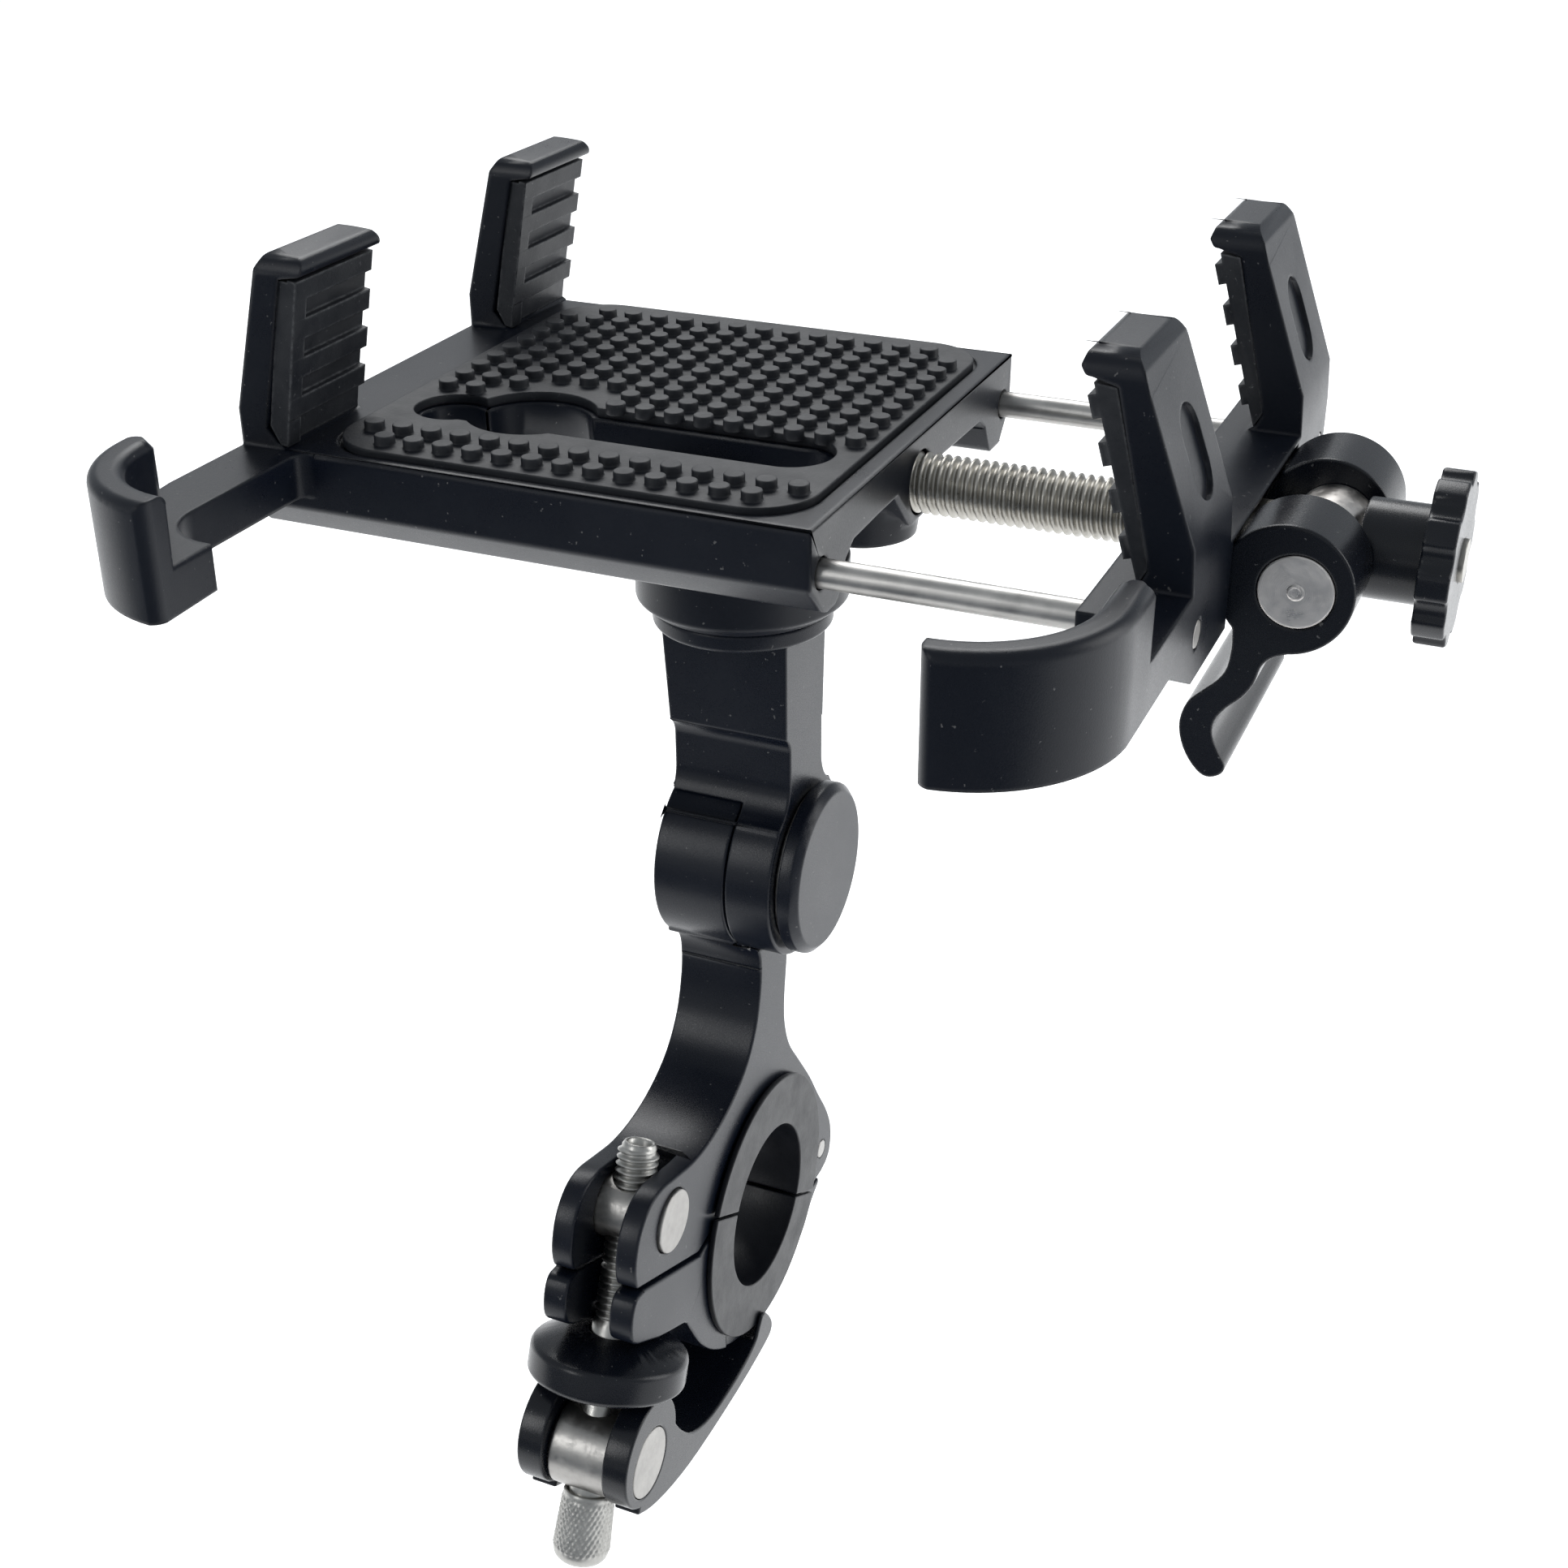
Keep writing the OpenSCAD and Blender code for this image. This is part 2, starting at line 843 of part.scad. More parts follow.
// The lower arm's side outline: the neck, the ears in front and the hinge lug behind.
module clamp_upper_outline() {
    polygon(concat(
        smooth([[1.2, 43.5], [0.7, 38.5], [-1.2, 32.8], [-5, 28.2], [-10.5, 25.3],
            [-16.5, 24], [-22.5, 24.1], [-28, 25.4], [-33, 26.6], [-36.8, 26],
            [-39.8, 23.3], [-41.3, 19.3], [-41, 15.8], [-39.2, 13.6]], 4),
        [[-22.1, 0], [0, -20], [18, -18], [23.5, -12.2], [25.3, -11.8]],
        smooth([[26.6, -11.5], [28.4, -9.9], [28.9, -6.5], [28.3, -3.6], [26.4, 0.2],
            [23.3, 5], [19.7, 10.9], [15.2, 17.2], [11.6, 22.4], [9.9, 27.6],
            [9.9, 32.5], [10.7, 38], [11.2, 43.5]], 4)));
}

// The arm's neck, blended into the round of the tilt knuckle.
module neck_outline() {
    front_c = -4;
    back_c = 16.2;
    blend_r = 5;
    reach = knuckle_r + blend_r;
    front_z = arm_z - sqrt(reach * reach - pow(head_y - front_c, 2));
    back_z = arm_z - sqrt(reach * reach - pow(back_c - head_y, 2));
    difference() {
        translate([-3, 42])
            square([18.4, 12]);
        translate([front_c, front_z])
            circle(blend_r);
        translate([back_c, back_z])
            circle(blend_r);
        translate([-4, 40])
            square([5, front_z - 40]);
        translate([back_c - blend_r, 40])
            square([6, back_z - 40]);
    }
}

// Everything above the broken line where the two clamp halves part.
module split_upper() {
    polygon([[-60, 23.7], [-22.1, 7], [-seat_r * cos(split_a), -seat_r * sin(split_a)],
        [seat_r * cos(split_a), seat_r * sin(split_a)], [21.4, -12.2], [40, -12.2],
        [40, 90], [-60, 90]]);
}

module split_lower() {
    polygon([[-60, 23.7], [-22.1, 7], [-seat_r * cos(split_a), -seat_r * sin(split_a)],
        [seat_r * cos(split_a), seat_r * sin(split_a)], [21.4, -12.2], [40, -12.2],
        [40, -60], [-60, -60]]);
}

// Room for the stud between the upper ears, up to its swung-out place.
module stud_slot_upper() {
    polygon([[-60, 40], [-60, -20], [-30, -20], [-27.5, 10], [-26.1, 17],
        [-21.3, 22], [-20.6, 40]]);
}

module lower_arm() {
    color(black)
        difference() {
            union() {
                along_x(-half_clamp, half_clamp)
                    intersection() {
                        clamp_upper_outline();
                        translate([0, split_gap])
                            split_upper();
                    }
                along_x(-half_clamp, half_clamp)
                    neck_outline();
                bar_x(-half_clamp, arm_split_x - 0.1, head_y, arm_z, knuckle_r);
                bar_x(-half_clamp, half_clamp, hinge_y, hinge_z, hinge_r);
            }
            bar_x(arm_split_x - 0.1, 20, head_y, arm_z, knuckle_r + 0.3);
            bar_x(-10, 20, head_y, arm_z, bolt_r);
            bar_x(-10, -1.5, head_y, arm_z, 5);
            bar_x(-10, 10, 0, 0, seat_r);
            along_x(-3.3, 3.3)
                stud_slot_upper();
            bar_x(-10, 10, trunnion_y, trunnion_z, trunnion_r + 0.05);
            bar_x(-10, 10, hinge_y, hinge_z, hinge_pin_r);
            bar_x(-3.3, 3.3, hinge_y, hinge_z, hinge_r + 0.35);
            along_x(-3.3, 3.3)
                polygon([[17.2, -8], [20, -20], [32, -20], [32, -9.5], [24.5, -6.5]]);
        }
}

// The lower half's side outline: the ears in front, then the round underside.
module clamp_lower_outline() {
    polygon(concat(
        smooth([[-39.9, 14.5], [-42, 14.6], [-43.3, 13], [-43.9, 10.6], [-43.6, 8.4],
            [-42.2, 6.9]], 3),
        [[-36, 2.9], [-28.2, -1]],
        smooth([[-27, -2], [-25.4, -5], [-22.6, -9.7], [-18.4, -14.4], [-12.8, -18.4],
            [-6.3, -21.1], [0.6, -22.4], [7.4, -22.1], [13.2, -20.6], [17.6, -18],
            [20.4, -15.2], [23.5, -13.4]], 3),
        [[24, -10], [14, 4], [-10, 20], [-30, 18]]));
}

module clamp_lower() {
    color(black)
        difference() {
            union() {
                along_x(-half_clamp - 0.4, half_clamp + 0.4)
                    intersection() {
                        clamp_lower_outline();
                        translate([0, -split_gap])
                            split_lower();
                        translate([-60, -60])
                            square([46, 90]);
                    }
                along_x(-half_clamp, half_clamp)
                    intersection() {
                        clamp_lower_outline();
                        translate([0, -split_gap])
                            split_lower();
                        translate([-17, -60])
                            square([80, 90]);
                    }
                bar_x(-3, 3, hinge_y, hinge_z, hinge_r);
                along_x(-3, 3)
                    polygon([[20.6, -9.4], [15, -12], [17.3, -19.2], [20.1, -16.5],
                        [25.6, -11.4]]);
            }
            bar_x(-10, 10, 0, 0, seat_r);
            along_x(-3.3, 3.3)
                polygon([[-60, 30], [-60, -20], [-31.5, -20], [-29.4, 12], [-29.4, 30]]);
            bar_x(-10, 10, hinge_y, hinge_z, hinge_pin_r + 0.05);
        }
}

module clamp_hinge_pin() {
    color(steel)
        bar_x(-half_clamp - 0.1, half_clamp + 0.1, hinge_y, hinge_z, hinge_pin_r);
}

module insert_solid() {
    difference() {
        union() {
            bar_x(-7.8, 7.8, 0, 0, seat_r);
            bar_x(half_clamp + 0.45, 7.8, 0, 0, insert_flange_r);
            bar_x(-7.8, -half_clamp - 0.45, 0, 0, insert_flange_r);
        }
        bar_x(-9, 9, 0, 0, bore_r);
    }
}

module bar_insert_upper() {
    color(black)
        difference() {
            insert_solid();
            rotate([split_a, 0, 0])
                translate([-10, -40, -40 + split_gap])
                    cube([20, 80, 40]);
        }
}

module bar_insert_lower() {
    color(black)
        difference() {
            insert_solid();
            rotate([split_a, 0, 0])
                translate([-10, -40, -split_gap])
                    cube([20, 80, 40]);
        }
}

module clamp_trunnion() {
    color(steel)
        difference() {
            bar_x(-7, 7, trunnion_y, trunnion_z, trunnion_r);
            stud_frame()
                translate([0, 0, -10])
                    cylinder(h = 20, r = stud_r + 0.03);
        }
}

module clamp_stud() {
    color(steel)
        stud_frame()
            difference() {
                rotate_extrude() {
                    translate([0, stud_top_t])
                        thread_profile(26, stud_r, stud_pitch, 0.5);
                    translate([0, 16])
                        square([stud_r, cam_pin_t - 2]);
                }
                translate([0, 0, stud_top_t - 0.3])
                    cylinder(h = 2.8, r = 1.7, $fn = 6);
            }
}

module knurled_nut() {
    base = cam_pin_t + 6.5;
    tip = cam_pin_t + 17.4;
    color(steel)
        stud_frame()
            rotate_extrude()
                polygon([[stud_r, base], [knurl_r - 0.7, base], [knurl_r - 0.4, base + 0.4],
                    [knurl_r, tip - 2], [knurl_r - 0.4, tip - 0.8], [knurl_r - 1.2, tip - 0.2],
                    [knurl_r - 2.2, tip], [0, tip], [0, tip - 2.2], [stud_r, tip - 2.2]]);
}

module lever_trunnion() {
    color(steel)
        difference() {
            stud_frame()
                translate([0, 0, cam_pin_t]) {
                    rotate([0, 90, 0])
                        translate([0, 0, -cheek_x1])
                            cylinder(h = 2 * cheek_x1, r = cam_pin_r);
                    rotate([0, 90, 0])
                        translate([0, 0, -4.4])
                            cylinder(h = 8.8, r = 6.3);
                }
            stud_frame()
                cylinder(h = 60, r = stud_r + 0.03);
            stud_frame()
                translate([-10, -10, cam_pin_t + 6.4])
                    cube(20);
        }
}

module clamp_lever_outline() {
    polygon(concat(
        smooth([[-47.6, -19.6], [-43.4, -22], [-36.5, -24.2], [-28, -25.5], [-14, -25.9],
            [-3.5, -25.2], [-0.9, -24.2], [-0.7, -22.4], [-2.6, -19.4], [-4.2, -18.6],
            [-5.4, -19.8], [-7.6, -21.9], [-14, -23], [-23, -22.6], [-29.4, -20.2],
            [-33, -16.6], [-35.4, -12.6], [-36.6, -9.6]], 3),
        [[-43.5, -13.3]]));
}

module clamp_lever() {
    pin_y = trunnion_y - cam_pin_t * sin(stud_tilt);
    pin_z = trunnion_z - cam_pin_t * cos(stud_tilt);
    cam_y = pin_y + cam_e * sin(stud_tilt);
    cam_z = pin_z + cam_e * cos(stud_tilt);
    color(black)
        difference() {
            union() {
                for (x = [-cheek_x1, cheek_x0]) {
                    bar_x(x, x + cheek_x1 - cheek_x0, cam_y, cam_z, cheek_r);
                    along_x(x, x + cheek_x1 - cheek_x0)
                        clamp_lever_outline();
                }
                along_x(-cheek_x1, cheek_x1)
                    intersection() {
                        clamp_lever_outline();
                        translate([-31.5, -40])
                            square([40, 40]);
                    }
            }
            bar_x(-20, 20, pin_y, pin_z, cam_pin_r + 0.05);
            bar_x(-cheek_x1 + tip_lip, cheek_x1 - tip_lip, 0, 0, 22.8);
        }
}

module pressure_dish() {
    color(black)
        stud_frame()
            rotate_extrude()
                polygon([[stud_r + 0.3, dish_top_t], [6.2, dish_top_t], [dish_r - 0.5, 20],
                    [dish_r, 20.6], [dish_r, 24.2], [dish_r - 0.6, 24.8],
                    [7, dish_base_t], [stud_r + 0.3, dish_base_t]]);
}

base_plate();
grip_pad();
jaw_pad_left_near();
jaw_pad_left_far();
swivel_collar();
screw_nut();
carriage();
jaw_pad_right_near();
jaw_pad_right_far();
guide_rod_near();
guide_rod_far();
wear_plate();
lead_screw();
knob();
phone_trunnion();
phone_lever();
swivel_ring();
swivel_bolt();
upper_arm();
hinge_bolt();
hinge_washer();
hinge_cap();
lower_arm();
bar_insert_upper();
bar_insert_lower();
clamp_lower();
clamp_hinge_pin();
clamp_trunnion();
clamp_stud();
knurled_nut();
lever_trunnion();
clamp_lever();
pressure_dish();
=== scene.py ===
import json
import math

import bmesh
import bpy
from mathutils import Matrix, Vector


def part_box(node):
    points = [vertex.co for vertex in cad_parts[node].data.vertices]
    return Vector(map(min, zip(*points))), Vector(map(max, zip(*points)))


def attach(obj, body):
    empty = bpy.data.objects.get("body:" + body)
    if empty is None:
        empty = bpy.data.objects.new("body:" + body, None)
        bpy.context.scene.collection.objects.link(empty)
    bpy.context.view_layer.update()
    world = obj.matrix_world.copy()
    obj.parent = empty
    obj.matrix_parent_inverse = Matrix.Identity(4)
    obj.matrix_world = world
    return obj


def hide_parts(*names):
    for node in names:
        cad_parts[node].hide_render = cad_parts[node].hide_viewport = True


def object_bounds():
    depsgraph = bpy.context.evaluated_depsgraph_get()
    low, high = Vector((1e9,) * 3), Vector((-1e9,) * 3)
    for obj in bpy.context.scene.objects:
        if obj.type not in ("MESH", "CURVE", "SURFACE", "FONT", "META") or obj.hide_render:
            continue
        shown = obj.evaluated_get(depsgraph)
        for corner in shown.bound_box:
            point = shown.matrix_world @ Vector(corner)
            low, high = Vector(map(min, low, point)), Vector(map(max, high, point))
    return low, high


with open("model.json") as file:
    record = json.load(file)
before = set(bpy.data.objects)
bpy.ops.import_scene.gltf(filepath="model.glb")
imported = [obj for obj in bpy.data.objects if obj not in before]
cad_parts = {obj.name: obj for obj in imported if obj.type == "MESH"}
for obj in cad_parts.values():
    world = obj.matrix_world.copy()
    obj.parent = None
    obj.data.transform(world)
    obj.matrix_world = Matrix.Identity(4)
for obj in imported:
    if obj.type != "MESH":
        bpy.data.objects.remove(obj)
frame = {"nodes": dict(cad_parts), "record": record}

# The CAD model's box, taken before any piece is added.
CAD_BOX = [list(corner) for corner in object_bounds()]
NODES = frame["nodes"]
BODY_OF = {node: body for body, members in frame["record"]["behaviour"]["bodies"].items()
           for node in members}

MM = 0.001
X_AXIS, Y_AXIS, Z_AXIS = range(3)


def centre_of(node):
    """The middle of a CAD node's box, in metres."""
    low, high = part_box(node)
    return (low + high) / 2


# Places of the turned parts, in metres. The stud hangs from the upper clamp pin, leaning back by
# its tilt, and the cam lever's pin crosses it further down.
SCREW_AXIS = Vector((0, centre_of("knob").y, centre_of("knob").z))
CLAMP_PIN = centre_of("clamp_trunnion")
STUD_TILT = math.radians(22.5)
STUD_DOWN = Vector((0, -math.sin(STUD_TILT), -math.cos(STUD_TILT)))
CAM_PIN_MM = 35.2
CAM_PIN = CLAMP_PIN + STUD_DOWN * CAM_PIN_MM * MM


# ---------------------------------------------------------------- materials
# Noise scales are per metre, so 1000 gives blotches about a millimetre across. Widths named edge
# and reach are in millimetres; bump distances and the tool marks' sizes are in metres.

BEVEL_SAMPLES = 4
SPECK_GREY = (0.07, 0.07, 0.072, 1)
# Grey over the outer edges of the jaw pads: partly rubbed wear, partly a painted highlight.
RUBBER_WEAR_AND_HIGHLIGHT = (0.12, 0.124, 0.13, 1)
WEAR_AND_HIGHLIGHT_REACH = 0.6
NO_DUST = (0, 0, 0)
FULL_DUST = (1, 1, 1)
RING_SPACING = 0.00022
RING_WOBBLE = 0.00012


class Nodes:
    """A short way to wire a node tree."""

    def __init__(self, name):
        self.mat = bpy.data.materials.new(name)
        self.mat.use_nodes = True
        self.tree = self.mat.node_tree
        self.shader = self.tree.nodes["Principled BSDF"]
        self.coord = self.tree.nodes.new("ShaderNodeTexCoord").outputs["Object"]

    def add(self, kind, **values):
        node = self.tree.nodes.new("ShaderNode" + kind)
        for key, value in values.items():
            setattr(node, key, value)
        return node

    def link(self, source, target):
        self.tree.links.new(source, target)

    def scaled(self, scale):
        mapping = self.add("Mapping")
        mapping.inputs["Scale"].default_value = scale
        self.link(self.coord, mapping.inputs["Vector"])
        return mapping.outputs["Vector"]

    def noise(self, scale, detail=3, rough=0.5, vector=None):
        texture = self.add("TexNoise")
        texture.inputs["Scale"].default_value = scale
        texture.inputs["Detail"].default_value = detail
        texture.inputs["Roughness"].default_value = rough
        self.link(vector or self.coord, texture.inputs["Vector"])
        return texture.outputs["Fac"]

    def ramp(self, source, stops):
        """Colours by the source's value: each stop is a place from 0 to 1 and a colour."""
        node = self.add("ValToRGB")
        elements = node.color_ramp.elements
        while len(elements) < len(stops):
            elements.new(0.5)
        for element, (place, colour) in zip(elements, stops):
            element.position = place
            element.color = (*colour, 1)
        self.link(source, node.inputs["Fac"])
        return node.outputs["Color"]

    def span(self, source, low, high, from_low=0.3, from_high=0.7):
        """The source's values from from_low to from_high, spread over low to high."""
        node = self.add("MapRange")
        node.inputs["From Min"].default_value = from_low
        node.inputs["From Max"].default_value = from_high
        node.inputs["To Min"].default_value = low
        node.inputs["To Max"].default_value = high
        self.link(source, node.inputs["Value"])
        return node.outputs["Result"]

    def calc(self, operation, *terms):
        """A Math node on numbers and sockets."""
        node = self.add("Math", operation=operation)
        for socket, term in zip(node.inputs, terms):
            if isinstance(term, (int, float)):
                socket.default_value = term
            else:
                self.link(term, socket)
        return node.outputs[0]

    def blend(self, under, over, factor=None, blend_type="MIX"):
        """A colour socket with another colour or socket over it, in full or by a factor socket."""
        node = self.add("Mix", data_type="RGBA", blend_type=blend_type)
        if factor is None:
            node.inputs["Factor"].default_value = 1
        else:
            self.link(factor, node.inputs["Factor"])
        self.link(under, node.inputs["A"])
        if isinstance(over, tuple):
            node.inputs["B"].default_value = over
        else:
            self.link(over, node.inputs["B"])
        return node.outputs["Result"]

    def soft_normal(self, radius):
        """The surface's normal as if its edges were rounded."""
        node = self.add("Bevel", samples=BEVEL_SAMPLES)
        node.inputs["Radius"].default_value = radius * MM
        return node.outputs["Normal"]

    def bump(self, height, distance, strength=1.0, edge=0.35):
        """Surface grain over edges that look rounded by the edge width."""
        node = self.add("Bump")
        node.inputs["Strength"].default_value = strength
        node.inputs["Distance"].default_value = distance
        self.link(height, node.inputs["Height"])
        self.link(self.soft_normal(edge), node.inputs["Normal"])
        self.link(node.outputs["Normal"], self.shader.inputs["Normal"])

    def edge_wear_and_highlight(self, reach, amount):
        """Broken wear and painted highlight along outer edges, where the rounded normal leaves the
        flat one.
        """
        dot = self.add("VectorMath", operation="DOT_PRODUCT")
        self.link(self.soft_normal(reach), dot.inputs[0])
        self.link(self.add("NewGeometry").outputs["Normal"], dot.inputs[1])
        wear_and_highlight = self.span(dot.outputs["Value"], amount, 0.0, 0.80, 0.995)
        patches = self.span(self.noise(900, 4, 0.7), 0.1, 1.0, 0.38, 0.62)
        return self.calc("MULTIPLY", wear_and_highlight, patches)

    def set(self, **values):
        """Sets the shader's own sockets; an underscore stands for a space."""
        for key, value in values.items():
            self.shader.inputs[key.replace("_", " ")].default_value = value


def anodised(name, dark, light, rough, ior=1.35, edge=0.35):
    """Bead-blasted black anodised aluminium: fine grain, faint colour clouds and dusty specks."""
    n = Nodes(name)
    clouds = n.noise(55, 5, 0.6)
    grain = n.noise(5200, 2, 0.6)
    specks = n.ramp(n.noise(1300, 2, 0.5), [(0.0, NO_DUST), (0.715, NO_DUST), (0.75, FULL_DUST)])
    base = n.ramp(clouds, [(0.3, dark), (0.7, light)])
    n.link(n.blend(base, SPECK_GREY, specks), n.shader.inputs["Base Color"])
    n.link(n.calc("ADD", n.span(clouds, *rough), n.span(grain, -0.04, 0.04)),
           n.shader.inputs["Roughness"])
    n.bump(grain, 0.00002, 0.5, edge)
    n.set(Metallic=0.0, IOR=ior)
    return n.mat


def rubber(name, dark, light, rough, dust, edge_wear_and_highlight=0.0):
    """Moulded rubber: matte and mottled, with pale dust in the grain and lighter outer edges that
    are partly wear and partly a painted highlight.
    """
    n = Nodes(name)
    clouds = n.noise(220, 6, 0.65)
    grain = n.noise(3200, 3, 0.6)
    dusting = n.ramp(n.noise(1500, 3, 0.6), [(0.0, NO_DUST), (0.66, NO_DUST), (0.78, (dust,) * 3)])
    base = n.ramp(clouds, [(0.35, dark), (0.7, light)])
    colour = n.blend(base, dusting, blend_type="ADD")
    # Outer edges lightened, partly as wear and partly as a painted highlight.
    if edge_wear_and_highlight:
        colour = n.blend(colour, RUBBER_WEAR_AND_HIGHLIGHT, n.edge_wear_and_highlight(WEAR_AND_HIGHLIGHT_REACH, edge_wear_and_highlight))
    n.link(colour, n.shader.inputs["Base Color"])
    n.link(n.span(clouds, rough, rough + 0.14), n.shader.inputs["Roughness"])
    n.bump(n.calc("ADD", grain, n.calc("MULTIPLY", clouds, 1.5)), 0.00004, 0.6)
    n.set(IOR=1.40)
    return n.mat


def drawn_lines(n, axis):
    """Fine lines drawn out along an axis."""
    scale = [2600, 2600, 2600]
    scale[axis] = 60
    return n.noise(1, 2, 0.5, n.scaled(scale))


def turned_rings(n, axis, centre):
    """Tool marks in rings round a centre, seen along an axis."""
    offset = n.add("VectorMath", operation="SUBTRACT")
    offset.inputs[1].default_value = centre
    n.link(n.coord, offset.inputs[0])
    across = n.add("VectorMath", operation="MULTIPLY")
    across.inputs[1].default_value = [0 if i == axis else 1 for i in range(3)]
    n.link(offset.outputs[0], across.inputs[0])
    radius = n.add("VectorMath", operation="LENGTH")
    n.link(across.outputs[0], radius.inputs[0])
    wobble = n.calc("MULTIPLY", n.noise(400, 2, 0.5), RING_WOBBLE)
    turns = n.calc("ADD", radius.outputs["Value"], wobble)
    waves = n.calc("SINE", n.calc("MULTIPLY", turns, 2 * math.pi / RING_SPACING))
    return n.calc("ADD", n.calc("MULTIPLY", waves, 0.25), n.noise(1500, 2, 0.5))


def steel(name, axis, colour, rough, centre=None):
    """Stainless steel, drawn along an axis, or turned round a centre when one is given."""
    n = Nodes(name)
    lines = drawn_lines(n, axis) if centre is None else turned_rings(n, axis, centre)
    blots = n.noise(260, 4, 0.6)
    dull = tuple(c * 0.82 for c in colour)
    bright = tuple(min(c * 1.12, 1) for c in colour)
    n.link(n.ramp(blots, [(0.3, dull), (0.7, bright)]), n.shader.inputs["Base Color"])
    n.link(n.calc("ADD", n.span(lines, -0.06, 0.08), n.span(blots, rough, rough + 0.1)),
           n.shader.inputs["Roughness"])
    n.bump(lines, 0.000012, 0.7)
    n.set(Metallic=1.0)
    return n.mat


BLACK = anodised("cradle_anodised", (0.0024, 0.0038, 0.0080), (0.0042, 0.0060, 0.0110),
                 rough=(0.28, 0.36), ior=1.34, edge=0.6)
ARM_BLACK = anodised("arm_anodised", (0.0026, 0.0042, 0.0090), (0.0044, 0.0064, 0.0120),
                     rough=(0.26, 0.34))
LEVER_BLACK = anodised("lever_anodised", (0.0026, 0.0036, 0.0068), (0.0042, 0.0056, 0.0092),
                       rough=(0.23, 0.30), ior=1.40)
INSERT_BLACK = rubber("insert_nylon", (0.0020, 0.0026, 0.0050), (0.0034, 0.0042, 0.0072),
                      rough=0.34, dust=0.004)
GRIP_RUBBER = rubber("grip_rubber", (0.0055, 0.0068, 0.0100), (0.0095, 0.0112, 0.0150),
                     rough=0.46, dust=0.04)
# The jaw pads' lighter edges are partly wear and partly a painted highlight.
JAW_RUBBER = rubber("jaw_rubber", (0.0065, 0.0080, 0.0115), (0.017, 0.0185, 0.0220),
                    rough=0.44, dust=0.09, edge_wear_and_highlight=0.8)
ROD_STEEL = steel("drawn_steel", X_AXIS, (0.42, 0.41, 0.395), 0.32)
SCREW_STEEL = steel("rolled_thread_steel", X_AXIS, (0.40, 0.385, 0.35), 0.28)
PLATE_STEEL = steel("sheet_steel", Y_AXIS, (0.46, 0.46, 0.455), 0.28)
# The lever pin's steel is a much paler copy of the turned pin steel: the extra brightness is a
# painted highlight.
LEVER_PIN_STEEL_PAINTED_HIGHLIGHT = steel("turned_lever_pin_painted_highlight", Y_AXIS, (0.78, 0.745, 0.71), 0.32,
                        centre=centre_of("phone_trunnion"))
CLAMP_PIN_STEEL = steel("turned_clamp_pin", X_AXIS, (0.36, 0.35, 0.335), 0.34, centre=CLAMP_PIN)
CAM_PIN_STEEL = steel("turned_cam_pin", X_AXIS, (0.36, 0.35, 0.335), 0.34, centre=CAM_PIN)
STUD_STEEL = steel("stud_steel", Z_AXIS, (0.42, 0.415, 0.395), 0.29)


# ---------------------------------------------------------------- meshes

# Faces that meet at less than these angles, in degrees, are shaded as one smooth surface.
SMOOTH_ANGLE = 38
PLAIN_SMOOTH_ANGLE = 22
THREAD_SMOOTH_ANGLE = 50
KNURL_SMOOTH_ANGLE = 60

WELD_DISTANCE = 0.002 * MM
FLAT_ANGLE = math.radians(0.6)
EASED_ANGLE = math.radians(28)
BOX_SLACK = 0.03 * MM
VOLUME_CHANGE = 0.03
# What is tried in turn when edges are rounded: a share of the width, and the length in
# millimetres that an edge has to pass to be rounded. The last one leaves every edge as it is.
EASING_TRIES = ((1, 0), (0.6, 0), (1, 2.5), (0.6, 2.5), (0.35, 2.5), (0, 0))

ON_AXIS = 1e-9
# A thread ridge across its pitch: the place along the axis in pitches, and the height over the
# root in depths.
RIDGE = ((-0.46, -0.15), (-0.13, 0.90), (-0.07, 1.0), (0.07, 1.0), (0.13, 0.90), (0.46, -0.15))
FADE_TURNS = 0.4


def show(mesh, name, material, node, stands_for=None, smooth_angle=SMOOTH_ANGLE):
    """Turns a mesh into a piece that rides with a CAD node's body, and hides the CAD nodes it
    stands for.
    """
    mesh.materials.clear()
    mesh.materials.append(material)
    mesh.shade_smooth()
    mesh.set_sharp_from_angle(angle=math.radians(smooth_angle))
    piece = bpy.data.objects.new(name, mesh)
    bpy.context.scene.collection.objects.link(piece)
    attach(piece, BODY_OF[node])
    if stands_for:
        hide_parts(*stands_for)
    return piece


def finished(bm, name):
    """The edited mesh as mesh data, with its faces turned outwards."""
    bmesh.ops.recalc_face_normals(bm, faces=bm.faces)
    mesh = bpy.data.meshes.new(name)
    bm.to_mesh(mesh)
    bm.free()
    return mesh


def rounded_copy(node, width, shortest):
    """A CAD node's mesh with its sharp edges rounded, and whether the result is sound."""
    bm = bmesh.new()
    bm.from_mesh(NODES[node].data)
    bmesh.ops.remove_doubles(bm, verts=bm.verts, dist=WELD_DISTANCE)
    bmesh.ops.dissolve_limit(bm, angle_limit=FLAT_ANGLE, verts=bm.verts, edges=bm.edges)
    volume = bm.calc_volume()
    if width > 0:
        edges = [e for e in bm.edges if e.is_manifold and e.calc_length() > shortest * MM
                 and e.calc_face_angle(0) > EASED_ANGLE]
        bmesh.ops.bevel(bm, geom=edges, offset=width * MM, offset_type="OFFSET", segments=2,
                        profile=0.5, affect="EDGES", clamp_overlap=False)
        bmesh.ops.remove_doubles(bm, verts=bm.verts, dist=WELD_DISTANCE)
    low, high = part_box(node)
    inside = all(low[i] - BOX_SLACK <= v.co[i] <= high[i] + BOX_SLACK
                 for v in bm.verts for i in range(3))
    return bm, inside and abs(bm.calc_volume() / volume - 1) < VOLUME_CHANGE


